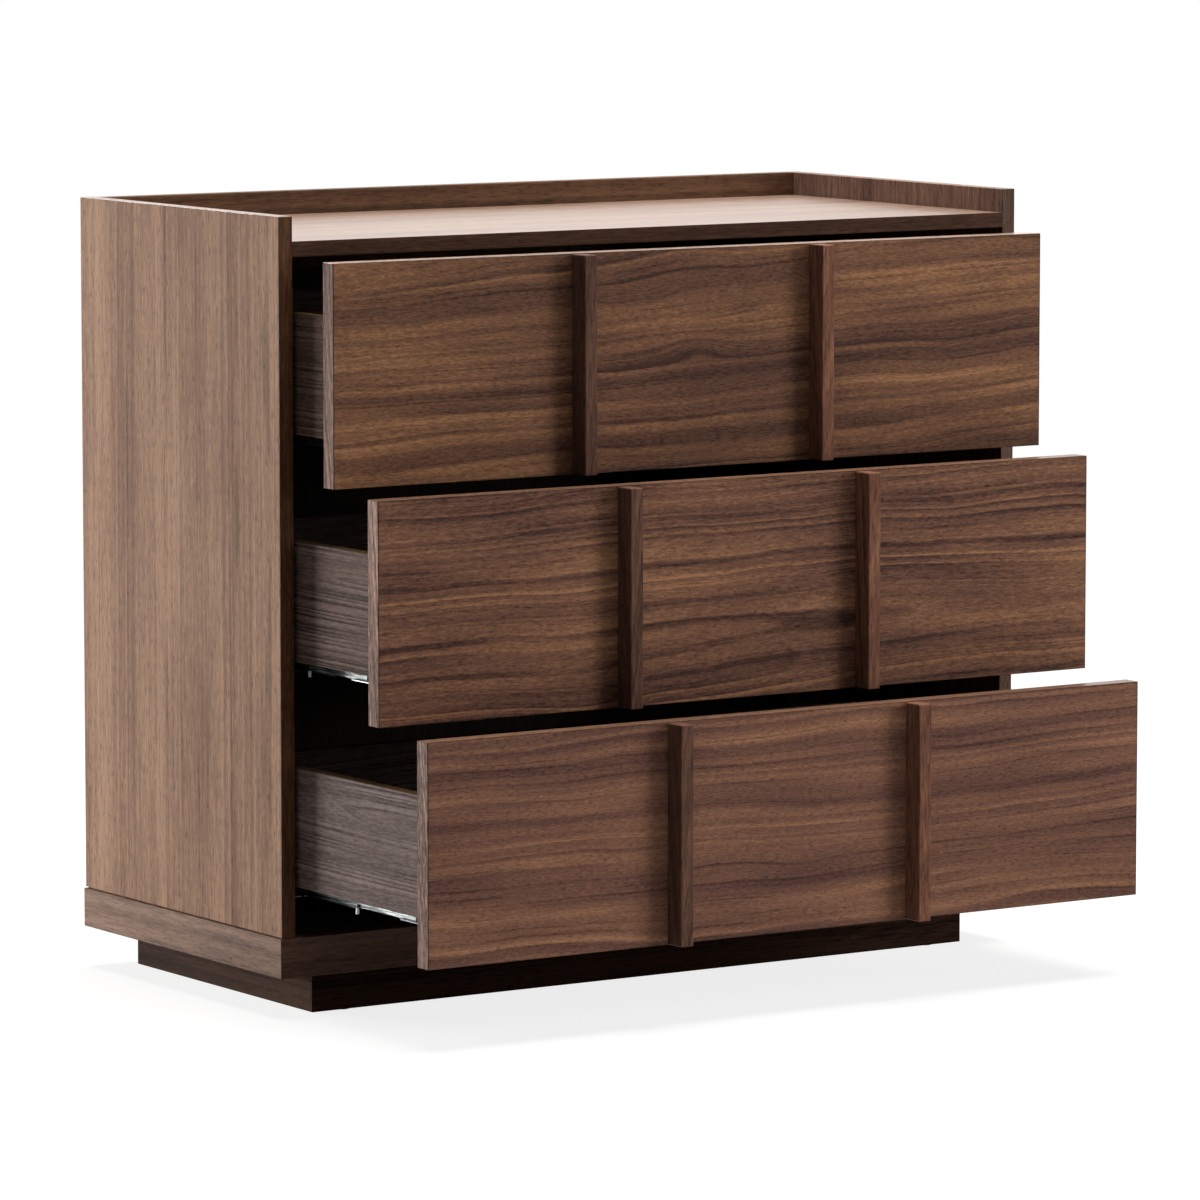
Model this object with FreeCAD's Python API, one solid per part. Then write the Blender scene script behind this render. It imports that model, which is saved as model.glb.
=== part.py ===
import FreeCAD
import Part
import math
import os

# Chest of three drawers on a recessed plinth, shown with each drawer drawn out by a different amount.
# Millimetres. +X is right, -Y is the front, +Z is up, and the origin is on the floor under the middle.

# Carcass: two sides that rise past the top, a back rail between them and a thin back board in grooves
chest_width = 900.0
chest_depth = 400.0
side_height = 719.5
side_thickness = 15.5
side_foot_rebate_height = 1.5
side_foot_rebate_depth = 3.0
top_thickness = 15.5
gallery_height = 24.5
gallery_rail_height = 80.0
gallery_rail_thickness = 16.0
back_board_thickness = 5.0
back_groove_depth = 6.0
edge_ease = 0.4

# Base: a hollow slab, a mitred edge frame round a floor board above and a thinner board below
base_height = 40.0
base_edge_thickness = 15.5
base_overhang = 2.0
floor_board_thickness = 15.5
under_board_thickness = 12.0

# Plinth: a mitred frame set back under the base, with a brace, glued blocks and sunk nail-in glides
plinth_showing = 41.7
plinth_thickness = 15.5
plinth_side_setback = 48.5
plinth_front_setback = 23.0
plinth_back_setback = 23.0
corner_block_size = 28.0
corner_block_height = 22.0
glide_height = 2.0
glide_showing = 0.8
glide_radius = 7.0
glide_pin_radius = 1.5
glide_pin_length = 9.0
glide_corner_inset = 40.0

# Drawer fronts, inset between the sides, and the two upright pulls on each
front_thickness = 19.0
front_side_gap = 4.0
front_top_gap = 2.8
front_bottom_gap = 1.5
front_between_gap = 4.8
pull_end_distance = 278.5
pull_width = 15.0
pull_depth = 24.0
pull_end_inset = 0.5
pull_ease = 0.8

# Drawer boxes: sides and back round a bottom that lies in grooves
box_side_thickness = 12.0
box_back_thickness = 12.0
box_rise = 48.5
box_top_drop = 53.4
box_back_clearance = 20.0
box_bottom_thickness = 6.0
box_bottom_recess = 13.0
box_groove_depth = 5.0
groove_clearance = 0.1

# How far each drawer stands open
top_drawer_open = 72.0
middle_drawer_open = 155.0
bottom_drawer_open = 245.0

# Undermount slides: three nested steel channels on each side of each drawer
rail_sheet = 1.2
rail_gap = 0.4
rail_width = 20.0
rail_inset = 6.5
rail_drop = 10.0
rail_flange_rise = 14.0
rail_front_gap = 4.0
rail_back_gap = 12.0
middle_rail_setback = 17.0
drawer_rail_front_gap = 0.5
drawer_rail_back_gap = 4.0
rail_notch_start = 19.0
rail_notch_length = 17.0
rail_notch_height = 8.0
rail_tab_distance = 142.5
rail_tab_length = 2.0
rail_tab_side_gap = 4.1
rail_tab_height = 3.0
rail_tab_drop = 6.5
rail_tab_slot_gap = 0.4
clip_length = 17.0
clip_drop = 0.2
clip_pivot_radius = 1.5
clip_pivot_inset = 3.2
clip_pivot_rise = 4.5
lever_length = 38.0
lever_thickness = 1.2
lever_gap = 0.4
lever_swing_degrees = 8.0
slide_head_clearance = 2.3

# Fasteners
dowel_radius = 3.0
dowel_length = 30.0
dowel_skin = 5.5
front_dowel_skin = 9.0
box_dowel_skin = 4.0
cam_radius = 7.5
cam_setback = 24.0
top_cam_skin = 6.0
box_cam_skin = 2.5
cam_bolt_radius = 2.5
cam_bolt_skin = 5.0
front_bolt_skin = 9.5
slide_screw_radius = 2.4
slide_screw_skin = 5.5
slide_screw_head_radius = 4.0
slide_screw_head_height = 2.0
pull_screw_radius = 1.8
pull_screw_skin = 12.0
pull_screw_head_radius = 4.0
pull_screw_head_height = 2.2
pull_screw_inset = 30.0
block_screw_radius = 1.8
block_screw_skin = 3.0
block_screw_head_radius = 4.0
block_screw_head_height = 2.2
hole_clearance = 0.05
hole_end_clearance = 0.2
overrun = 5.0

# Places along a board, as shares of its length
top_cam_shares = (0.14, 0.86)
top_dowel_shares = (0.3, 0.7)
gallery_dowel_shares = (0.22, 0.78)
side_dowel_shares = (0.1, 0.5, 0.88)
slide_screw_shares = (0.12, 0.82)
box_dowel_shares = (0.32, 0.84)
box_cam_share = 0.58

# Levels and planes worked out from the sizes
drawer_open = {"top": top_drawer_open, "middle": middle_drawer_open, "bottom": bottom_drawer_open}
half_width = chest_width / 2
inner_half = half_width - side_thickness
y_front = -chest_depth / 2
y_back = chest_depth / 2
z_base = glide_showing + plinth_showing
z_floor = z_base + base_height
z_top = z_floor + side_height
z_top_surface = z_top - gallery_height
z_top_under = z_top_surface - top_thickness
y_gallery = y_back - gallery_rail_thickness
z_gallery = z_top - gallery_rail_height
y_gallery_middle = (y_gallery + y_back) / 2
y_board_front = y_gallery_middle - back_board_thickness / 2
y_board_back = y_gallery_middle + back_board_thickness / 2
front_half = inner_half - front_side_gap
fronts_height = z_top_under - z_floor - front_top_gap - front_bottom_gap
front_height = (fronts_height - (len(drawer_open) - 1) * front_between_gap) / len(drawer_open)
box_height = front_height - box_rise - box_top_drop
box_side_clearance = rail_sheet + slide_screw_head_height + slide_head_clearance
box_half = inner_half - box_side_clearance
box_inner_half = box_half - box_side_thickness
y_front_back = y_front + front_thickness
y_box_back = y_board_front - box_back_clearance

# Cross-section of a slide, with u inward from the carcass side and w up from the box side's lower edge
u_rail = box_side_clearance + box_side_thickness + rail_inset
rail_step = rail_sheet + rail_gap
w_rail_top = box_bottom_recess
w_middle_foot = -rail_drop - rail_step
w_fixed_foot = w_middle_foot - rail_step
u_tab = u_rail - rail_inset + rail_tab_side_gap
u_tab_end = u_rail - rail_gap
y_tab = y_front_back + rail_tab_distance
y_tab_end = y_tab + rail_tab_length
u_clip = box_side_clearance + box_side_thickness + rail_gap
u_clip_end = u_rail - rail_gap
w_clip = -rail_drop - clip_drop
w_pivot = w_clip + clip_pivot_rise
y_clip_back = y_front_back + clip_length
y_pivot = y_clip_back - clip_pivot_inset


def point(x, y, z):
    return FreeCAD.Vector(x, y, z)


def block(x0, x1, y0, y1, z0, z1):
    """A straight-sided piece between two corners."""
    return Part.makeBox(x1 - x0, y1 - y0, z1 - z0, point(x0, y0, z0))


def eased(solid, size):
    """The same piece with every arris taken off."""
    return solid.makeChamfer(size, solid.Edges)


def edge_near(solid, spot):
    """The edge whose middle is closest to a spot."""
    return min(solid.Edges, key=lambda edge: (edge.CenterOfMass - spot).Length)


def rod(start, end, radius):
    run = end - start
    return Part.makeCylinder(radius, run.Length, start, run)


def bore(start, end, radius):
    """The hole for a rod: a little wider and a little deeper at both ends."""
    run = end - start
    spare = FreeCAD.Vector(run).normalize() * hole_end_clearance
    return rod(start - spare, end + spare, radius + hole_clearance)


def screw(seat, tip, radius, head_radius, head_height):
    """A pan-head screw whose head sits at seat and whose shank runs to tip."""
    out = FreeCAD.Vector(seat - tip).normalize() * head_height
    return rod(seat, tip, radius).fuse(rod(seat, seat + out, head_radius)).removeSplitter()


def cut_all(solid, tools):
    return solid.cut(Part.Compound(tools)) if tools else solid


def mirrored(shape):
    """The right-hand twin of a left-hand piece."""
    return shape.mirror(point(0, 0, 0), point(1, 0, 0))


def both_hands(shapes):
    return list(shapes) + [mirrored(shape) for shape in shapes]


def share_of(low, high, share):
    return low + (high - low) * share


def mitred_frame(x0, x1, y0, y1, z0, z1, thickness):
    """Four upright boards round a rectangle, mitred at the corners, with their long outer arrises eased."""
    outer = [point(x0, y0, z0), point(x1, y0, z0), point(x1, y1, z0), point(x0, y1, z0)]
    inner = [point(x0 + thickness, y0 + thickness, z0), point(x1 - thickness, y0 + thickness, z0),
             point(x1 - thickness, y1 - thickness, z0), point(x0 + thickness, y1 - thickness, z0)]
    boards = {}
    for i, name in enumerate(("front", "right", "back", "left")):
        j = (i + 1) % len(outer)
        outline = Part.makePolygon([outer[i], outer[j], inner[j], inner[i], outer[i]])
        board = Part.Face(outline).extrude(point(0, 0, z1 - z0))
        lower = (outer[i] + outer[j]) / 2
        arrises = [edge_near(board, lower), edge_near(board, lower + point(0, 0, z1 - z0))]
        boards[name] = board.makeChamfer(edge_ease, arrises)
    return boards


# Fasteners of the carcass, each given as start, end and radius on the left-hand side
z_top_middle = (z_top_under + z_top_surface) / 2
x_foot = -half_width + min(side_thickness, base_edge_thickness - base_overhang) / 2
x_dowel_start = -half_width + dowel_skin
x_dowel_end = x_dowel_start + dowel_length
top_dowels = []
for share in top_dowel_shares:
    y = share_of(y_front, y_gallery, share)
    top_dowels.append((point(x_dowel_start, y, z_top_middle),
                       point(x_dowel_end, y, z_top_middle), dowel_radius))
gallery_dowels = []
for share in gallery_dowel_shares:
    z = share_of(z_gallery, z_top, share)
    gallery_dowels.append((point(x_dowel_start, y_gallery_middle, z),
                           point(x_dowel_end, y_gallery_middle, z), dowel_radius))
foot_dowels = []
for share in side_dowel_shares:
    y = share_of(y_front, y_gallery, share)
    foot_dowels.append((point(x_foot, y, z_floor - dowel_length / 2),
                        point(x_foot, y, z_floor + dowel_length / 2), dowel_radius))
top_cam_bolts = []
top_cams = []
x_cam = -inner_half + cam_setback
for share in top_cam_shares:
    y = share_of(y_front, y_gallery, share)
    top_cam_bolts.append((point(-half_width + cam_bolt_skin, y, z_top_middle),
                          point(x_cam - cam_radius - hole_end_clearance, y, z_top_middle), cam_bolt_radius))
    top_cams.append((point(x_cam, y, z_top_under), point(x_cam, y, z_top_surface - top_cam_skin), cam_radius))


def drawer_levels(order):
    """Lower edges of a drawer's front and box, counted from the top drawer."""
    z_front = z_top_under - front_top_gap - (order + 1) * front_height - order * front_between_gap
    return z_front, z_front + box_rise


def fixed_rail_ends():
    return y_front_back + rail_front_gap, y_board_front - rail_back_gap


def slide_screw_runs(z_box):
    """Seats and tips of the screws that hold a left-hand fixed rail, halfway up its flange."""
    y0, y1 = fixed_rail_ends()
    z = z_box + (rail_flange_rise + w_fixed_foot) / 2
    runs = []
    for share in slide_screw_shares:
        y = share_of(y0, y1, share)
        runs.append((point(-inner_half + rail_sheet, y, z), point(-half_width + slide_screw_skin, y, z)))
    return runs


def side_panel():
    """Left side: rebated at the foot, grooved for the back board, bored for the top, base and slides."""
    body = block(-half_width, -inner_half, y_front, y_back, z_floor, z_top)
    above_foot = [edge for edge in body.Edges if edge.CenterOfMass.z > z_floor + edge_ease]
    body = body.makeChamfer(edge_ease, above_foot)
    rebate = block(-half_width - overrun, -half_width + side_foot_rebate_depth, y_front - overrun,
                   y_back + overrun, z_floor - overrun, z_floor + side_foot_rebate_height)
    groove = block(-inner_half - back_groove_depth, -inner_half + overrun,
                   y_board_front - groove_clearance, y_board_back + groove_clearance,
                   z_floor - overrun, z_gallery + back_groove_depth)
    holes = [bore(*peg) for peg in top_dowels + gallery_dowels + foot_dowels + top_cam_bolts]
    for order in range(len(drawer_open)):
        for seat, tip in slide_screw_runs(drawer_levels(order)[1]):
            holes.append(bore(seat, tip, slide_screw_radius))
    return cut_all(body, [rebate, groove] + holes)


def top_panel():
    body = eased(block(-inner_half, inner_half, y_front, y_gallery, z_top_under, z_top_surface), edge_ease)
    holes = [bore(*peg) for peg in top_dowels + top_cam_bolts + top_cams]
    return cut_all(body, both_hands(holes))


def gallery_rail():
    """Back rail of the gallery, with a groove below for the back board."""
    body = eased(block(-inner_half, inner_half, y_gallery, y_back, z_gallery, z_top), edge_ease)
    groove = block(-inner_half - overrun, inner_half + overrun, y_board_front - groove_clearance,
                   y_board_back + groove_clearance, z_gallery - overrun, z_gallery + back_groove_depth)
    return cut_all(body, [groove] + both_hands([bore(*peg) for peg in gallery_dowels]))


def back_board():
    reach = back_groove_depth - groove_clearance
    half = inner_half + reach
    return block(-half, half, y_board_front, y_board_back, z_floor, z_gallery + reach)


def base_frame():
    """Edge frame of the base. It stands a little proud of the sides and front, and holds their dowels."""
    half = half_width + base_overhang
    boards = mitred_frame(-half, half, y_front - base_overhang, y_back, z_base, z_floor, base_edge_thickness)
    holes = [bore(*peg) for peg in foot_dowels]
    boards["left"] = cut_all(boards["left"], holes)
    boards["right"] = cut_all(boards["right"], [mirrored(hole) for hole in holes])
    return boards


def base_filling(z0, z1):
    """A board that fills the base frame between two levels."""
    half = half_width + base_overhang - base_edge_thickness
    y0 = y_front - base_overhang + base_edge_thickness
    return block(-half, half, y0, y_back - base_edge_thickness, z0, z1)


def plinth_box():
    """Outer plan of the plinth: left, right, front and back."""
    half = half_width - plinth_side_setback
    return -half, half, y_front + plinth_front_setback, y_back - plinth_back_setback


z_block = z_base - corner_block_height


def corner_block_places():
    """Plan corners of the four blocks, each as left, right, front and back."""
    x0, x1, y0, y1 = plinth_box()
    x0, x1 = x0 + plinth_thickness, x1 - plinth_thickness
    y0, y1 = y0 + plinth_thickness, y1 - plinth_thickness
    size = corner_block_size
    return [(a, a + size, b, b + size) for a in (x0, x1 - size) for b in (y0, y1 - size)]


def block_screws():
    """Seat and tip of the screw in each corner block."""
    pairs = []
    for x0, x1, y0, y1 in corner_block_places():
        seat = point((x0 + x1) / 2, (y0 + y1) / 2, z_block)
        pairs.append((seat, point(seat.x, seat.y, z_base + under_board_thickness - block_screw_skin)))
    return pairs


def glide_places():
    """Four glides under the front and back boards and one under the middle of the brace."""
    x0, x1, y0, y1 = plinth_box()
    xs = (x0 + glide_corner_inset, x1 - glide_corner_inset)
    ys = (y0 + plinth_thickness / 2, y1 - plinth_thickness / 2)
    places = [point(x, y, 0) for x in xs for y in ys]
    return places + [point(0, 0, 0)]


def glide_pin(place):
    foot = place + point(0, 0, glide_height)
    return foot, foot + point(0, 0, glide_pin_length), glide_pin_radius


def glide(place):
    pad = rod(place, place + point(0, 0, glide_height), glide_radius)
    return pad.fuse(rod(*glide_pin(place))).removeSplitter()


def glide_seat(place):
    """The shallow hole that a glide's pad is sunk in, with its floor on the pad."""
    return rod(place, place + point(0, 0, glide_height), glide_radius + hole_clearance)


def plinth_boards():
    """Mitred frame and its brace, bored from below for the glides."""
    boards = mitred_frame(*plinth_box(), glide_showing, z_base, plinth_thickness)
    x0, x1, y0, y1 = plinth_box()
    boards["brace"] = block(-plinth_thickness / 2, plinth_thickness / 2, y0 + plinth_thickness,
                            y1 - plinth_thickness, glide_showing, z_base)
    holes = [bore(*glide_pin(place)) for place in glide_places()]
    holes += [glide_seat(place) for place in glide_places()]
    for name in ("front", "back", "brace"):
        boards[name] = cut_all(boards[name], holes)
    return boards


def under_board():
    body = base_filling(z_base, z_base + under_board_thickness)
    return cut_all(body, [bore(seat, tip, block_screw_radius) for seat, tip in block_screws()])


def corner_blocks():
    solids = [block(*place, z_block, z_base) for place in corner_block_places()]
    holes = [bore(seat, tip, block_screw_radius) for seat, tip in block_screws()]
    return [cut_all(solid, holes) for solid in solids]


def channel_part(u0, u1, w0, w1, y0, y1, z_box):
    """One flat stretch of a left-hand rail."""
    return block(-inner_half + u0, -inner_half + u1, y0, y1, z_box + w0, z_box + w1)


def channel(u0, u1, w_foot, w_top, y0, y1, z_box):
    """An upside-down channel: two walls and a top, as flat stretches."""
    s = rail_sheet
    return [channel_part(u0, u0 + s, w_foot, w_top, y0, y1, z_box),
            channel_part(u1 - s, u1, w_foot, w_top, y0, y1, z_box),
            channel_part(u0, u1, w_top - s, w_top, y0, y1, z_box)]


def welded(parts):
    return parts[0].fuse(parts[1:]).removeSplitter()


def fixed_rail(z_box):
    """Rail on the carcass side: a screwed flange, a floor slotted for the drawer rail's tab and a raised rib."""
    y0, y1 = fixed_rail_ends()
    u0, u1 = u_rail + 2 * rail_step, u_rail + rail_width - 2 * rail_step
    floor_top = w_fixed_foot + rail_sheet
    parts = channel(u0, u1, w_fixed_foot, w_rail_top - 2 * rail_step, y0, y1, z_box)
    parts.append(channel_part(0, rail_sheet, w_fixed_foot, rail_flange_rise, y0, y1, z_box))
    parts.append(channel_part(0, u0 + rail_sheet, w_fixed_foot, floor_top, y0, y1, z_box))
    parts.append(channel_part(u1 - rail_sheet, u_rail + rail_width, w_fixed_foot, floor_top, y0, y1, z_box))
    slot = channel_part(u_tab - rail_tab_slot_gap, u_tab_end + rail_tab_slot_gap, w_fixed_foot - overrun,
                        floor_top + rail_tab_slot_gap, y0 - overrun, y_tab_end + rail_tab_slot_gap, z_box)
    holes = [bore(seat, tip, slide_screw_radius) for seat, tip in slide_screw_runs(z_box)]
    return cut_all(welded(parts), [slot] + holes)


def middle_rail(z_box):
    """Rail that rides between the other two and travels half as far as the drawer."""
    y0, y1 = fixed_rail_ends()
    y0, y1 = y0 + middle_rail_setback, y1 - middle_rail_setback
    u0, u1 = u_rail + rail_step, u_rail + rail_width - rail_step
    lip_top = w_middle_foot + rail_sheet
    parts = channel(u0, u1, w_middle_foot, w_rail_top - rail_step, y0, y1, z_box)
    parts.append(channel_part(u_rail, u0 + rail_sheet, w_middle_foot, lip_top, y0, y1, z_box))
    parts.append(channel_part(u1 - rail_sheet, u_rail + rail_width, w_middle_foot, lip_top, y0, y1, z_box))
    return welded(parts)


def drawer_rail(z_box):
    """Rail under the drawer bottom, notched beside the clip and with a small stop tab."""
    y0, y1 = y_front_back + drawer_rail_front_gap, y_box_back - drawer_rail_back_gap
    parts = channel(u_rail, u_rail + rail_width, -rail_drop, w_rail_top, y0, y1, z_box)
    parts.append(channel_part(u_tab, u_rail + rail_sheet, -rail_drop + rail_sheet,
                              -rail_drop + rail_tab_height, y_tab, y_tab_end, z_box))
    parts.append(channel_part(u_tab, u_tab_end, -rail_drop - rail_tab_drop,
                              -rail_drop + rail_tab_height, y_tab, y_tab_end, z_box))
    y_notch = y_front_back + rail_notch_start
    notch = channel_part(u_rail - rail_gap, u_rail + rail_sheet, -rail_drop - overrun,
                         -rail_drop + rail_notch_height, y_notch, y_notch + rail_notch_length, z_box)
    return welded(parts).cut(notch)


def lever_pivot(z_box):
    """Round end of a left-hand lever, across the clip."""
    x = -inner_half
    return (point(x + u_clip, y_pivot, z_box + w_pivot), point(x + u_clip_end, y_pivot, z_box + w_pivot),
            clip_pivot_radius)


def clip(z_box):
    """Clip that locks the drawer to its rail, bored for the lever and slotted behind for its swing."""
    body = channel_part(u_clip, u_clip_end, w_clip, w_rail_top, y_front_back, y_clip_back, z_box)
    half = lever_thickness / 2 + lever_gap
    swing = clip_pivot_inset * math.sin(math.radians(lever_swing_degrees))
    slot = channel_part(u_clip - overrun, u_clip_end + overrun, w_pivot - half, w_pivot + half + swing,
                        y_pivot, y_clip_back + overrun, z_box)
    return cut_all(body, [bore(*lever_pivot(z_box)), slot])


def lever(z_box):
    """Release lever: a round end in the clip, a neck out of it, and a strip bent down and back."""
    half = lever_thickness / 2
    y_bend = y_clip_back + lever_gap
    neck = channel_part(u_clip, u_clip_end, w_pivot - half, w_pivot + half,
                        y_pivot, y_bend + lever_thickness, z_box)
    bend = channel_part(u_clip, u_clip_end, w_clip, w_pivot + half, y_bend, y_bend + lever_thickness, z_box)
    strip = channel_part(u_clip, u_clip_end, w_clip, w_clip + lever_thickness,
                         y_bend, y_bend + lever_length, z_box)
    return welded([rod(*lever_pivot(z_box)), neck, bend, strip])


def pull_places():
    """Left edges of the two pulls, each as far from its end of the front."""
    return -front_half + pull_end_distance, front_half - pull_end_distance - pull_width


def pull_screws(z_front):
    """Seats on the back of the front and tips inside the pulls."""
    pairs = []
    for x in pull_places():
        for z in (z_front + pull_screw_inset, z_front + front_height - pull_screw_inset):
            seat = point(x + pull_width / 2, y_front_back, z)
            pairs.append((seat, point(seat.x, y_front - pull_depth + pull_screw_skin, z)))
    return pairs


def box_front_pegs(z_box):
    """Dowels and the cam bolt that join a left-hand box side to the front."""
    x = -box_half + box_side_thickness / 2
    dowels = []
    for share in box_dowel_shares:
        start = point(x, y_front + front_dowel_skin, z_box + box_height * share)
        dowels.append((start, start + point(0, dowel_length, 0), dowel_radius))
    z_bolt = z_box + box_height * box_cam_share
    bolt = (point(x, y_front + front_bolt_skin, z_bolt),
            point(x, y_front_back + cam_setback - cam_radius - hole_end_clearance, z_bolt), cam_bolt_radius)
    return dowels, bolt


def box_cam(z_box):
    """Cam in the inner face of a left-hand box side."""
    face = point(-box_inner_half, y_front_back + cam_setback, z_box + box_height * box_cam_share)
    return point(-box_half + box_cam_skin, face.y, face.z), face, cam_radius


def box_back_dowels(z_box):
    """Dowels that join a left-hand box side to the back."""
    y = y_box_back - box_back_thickness / 2
    dowels = []
    for share in box_dowel_shares:
        start = point(-box_half + box_dowel_skin, y, z_box + box_height * share)
        dowels.append((start, start + point(dowel_length, 0, 0), dowel_radius))
    return dowels


def box_bottom_space(z_box, spare):
    """The drawer bottom, or with spare room its groove: into the sides and the front, and under the back."""
    half = box_inner_half + box_groove_depth - groove_clearance + spare
    y0 = y_front_back - box_groove_depth + groove_clearance - spare
    z0 = z_box + box_bottom_recess - spare
    return block(-half, half, y0, y_box_back, z0, z0 + box_bottom_thickness + 2 * spare)


def drawer_front(z_front, z_box):
    body = block(-front_half, front_half, y_front, y_front_back, z_front, z_front + front_height)
    dowels, bolt = box_front_pegs(z_box)
    holes = both_hands([bore(*peg) for peg in dowels + [bolt]])
    holes += [bore(seat, tip, pull_screw_radius) for seat, tip in pull_screws(z_front)]
    return cut_all(eased(body, edge_ease), holes + [box_bottom_space(z_box, groove_clearance)])


def pull(x, z_front):
    body = eased(block(x, x + pull_width, y_front - pull_depth, y_front, z_front + pull_end_inset,
                       z_front + front_height - pull_end_inset), pull_ease)
    return cut_all(body, [bore(seat, tip, pull_screw_radius) for seat, tip in pull_screws(z_front)])


def box_side(z_box):
    body = block(-box_half, -box_inner_half, y_front_back, y_box_back, z_box, z_box + box_height)
    dowels, bolt = box_front_pegs(z_box)
    pegs = dowels + [bolt, box_cam(z_box)] + box_back_dowels(z_box)
    groove = box_bottom_space(z_box, groove_clearance)
    groove = groove.fuse(groove.translated(point(0, overrun, 0)))
    return cut_all(eased(body, edge_ease), [groove] + [bore(*peg) for peg in pegs])


def box_back(z_box):
    z0 = z_box + box_bottom_recess + box_bottom_thickness
    y0 = y_box_back - box_back_thickness
    body = eased(block(-box_inner_half, box_inner_half, y0, y_box_back, z0, z_box + box_height), edge_ease)
    return cut_all(body, both_hands([bore(*peg) for peg in box_back_dowels(z_box)]))


def carcass_parts():
    parts = {"left_side_panel": side_panel()}
    parts["right_side_panel"] = mirrored(parts["left_side_panel"])
    parts["top_panel"] = top_panel()
    parts["gallery_rail"] = gallery_rail()
    parts["back_board"] = back_board()
    parts["floor_board"] = base_filling(z_floor - floor_board_thickness, z_floor)
    parts["under_board"] = under_board()
    for name, board in base_frame().items():
        parts["base_" + name + "_edge"] = board
    for name, board in plinth_boards().items():
        parts["plinth_" + name] = board
    parts["plinth_corner_blocks"] = corner_blocks()
    parts["carcass_screws"] = slide_screws() + plinth_screws()
    parts["floor_glides"] = [glide(place) for place in glide_places()]
    parts["carcass_dowels"] = both_hands([rod(*peg) for peg in top_dowels + gallery_dowels + foot_dowels])
    parts["carcass_cams"] = both_hands([rod(*peg) for peg in top_cam_bolts + top_cams])
    return parts


def drawer_parts(name, order):
    """One drawer and its slides, set at the place where the drawer stands open."""
    z_front, z_box = drawer_levels(order)
    x_left, x_right = pull_places()
    dowels, bolt = box_front_pegs(z_box)
    dowels = dowels + box_back_dowels(z_box)
    screws = [screw(seat, tip, pull_screw_radius, pull_screw_head_radius, pull_screw_head_height)
              for seat, tip in pull_screws(z_front)]
    side = box_side(z_box)
    moving = {
        "drawer_front": drawer_front(z_front, z_box),
        "drawer_left_pull": pull(x_left, z_front),
        "drawer_right_pull": pull(x_right, z_front),
        "drawer_left_side": side,
        "drawer_right_side": mirrored(side),
        "drawer_back": box_back(z_box),
        "drawer_bottom": box_bottom_space(z_box, 0),
        "drawer_fasteners": screws + both_hands([rod(*peg) for peg in dowels + [bolt, box_cam(z_box)]]),
        "slide_drawer_rails": both_hands([drawer_rail(z_box)]),
        "slide_clips": both_hands([clip(z_box)]),
        "clip_levers": both_hands([lever(z_box)]),
    }
    travel = point(0, -drawer_open[name], 0)
    parts = {key: moved(shape, travel) for key, shape in moving.items()}
    parts["slide_middle_rails"] = moved(both_hands([middle_rail(z_box)]), travel / 2)
    parts["slide_fixed_rails"] = both_hands([fixed_rail(z_box)])
    return {name + "_" + key: shape for key, shape in parts.items()}


def moved(shapes, travel):
    if isinstance(shapes, list):
        return [shape.translated(travel) for shape in shapes]
    return shapes.translated(travel)


def slide_screws():
    screws = []
    for order in range(len(drawer_open)):
        for seat, tip in slide_screw_runs(drawer_levels(order)[1]):
            screws.append(screw(seat, tip, slide_screw_radius, slide_screw_head_radius,
                                slide_screw_head_height))
    return both_hands(screws)


def plinth_screws():
    return [screw(seat, tip, block_screw_radius, block_screw_head_radius, block_screw_head_height)
            for seat, tip in block_screws()]


def all_parts():
    parts = carcass_parts()
    for order, name in enumerate(drawer_open):
        parts.update(drawer_parts(name, order))
    return parts


os.makedirs("parts", exist_ok=True)
for node, shape in all_parts().items():
    if isinstance(shape, list):
        shape = Part.Compound(shape)
    shape.exportStep(os.path.join("parts", node + ".step"))
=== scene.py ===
import math

import bmesh
import bpy
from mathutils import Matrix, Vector


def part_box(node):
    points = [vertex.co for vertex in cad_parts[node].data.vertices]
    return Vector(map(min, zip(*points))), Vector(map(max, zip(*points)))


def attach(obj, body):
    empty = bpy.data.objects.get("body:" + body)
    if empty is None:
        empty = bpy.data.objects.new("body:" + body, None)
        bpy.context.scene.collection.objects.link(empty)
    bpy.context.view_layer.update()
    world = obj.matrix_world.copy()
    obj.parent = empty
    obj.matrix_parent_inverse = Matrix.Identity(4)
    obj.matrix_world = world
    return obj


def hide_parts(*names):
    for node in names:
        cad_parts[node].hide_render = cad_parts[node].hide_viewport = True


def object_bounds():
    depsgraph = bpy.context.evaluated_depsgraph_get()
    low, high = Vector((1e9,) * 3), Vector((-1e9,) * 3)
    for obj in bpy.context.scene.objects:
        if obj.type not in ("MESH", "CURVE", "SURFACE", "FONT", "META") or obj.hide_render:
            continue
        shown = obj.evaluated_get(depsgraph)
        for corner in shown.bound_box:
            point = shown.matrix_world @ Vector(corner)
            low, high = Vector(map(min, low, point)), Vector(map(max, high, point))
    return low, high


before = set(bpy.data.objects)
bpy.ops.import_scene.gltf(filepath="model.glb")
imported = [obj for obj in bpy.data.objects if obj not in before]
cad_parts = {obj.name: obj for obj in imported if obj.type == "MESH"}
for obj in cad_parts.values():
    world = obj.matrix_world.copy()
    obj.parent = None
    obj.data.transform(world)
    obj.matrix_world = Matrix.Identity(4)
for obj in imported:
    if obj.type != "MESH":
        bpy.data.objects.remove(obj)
cad_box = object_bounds()

# Plinth: four boards of fibreboard, mitred into a frame and set back under the base.
# They are veneered in walnut with the grain running level, in tones much darker than the rest of the chest,
# and the front and back boards are a little darker still as painted shade.


def feed(tree, socket, value):
    """Set a socket, or link it to another node's output."""
    if isinstance(value, bpy.types.NodeSocket):
        tree.links.new(value, socket)
    else:
        socket.default_value = value


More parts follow.
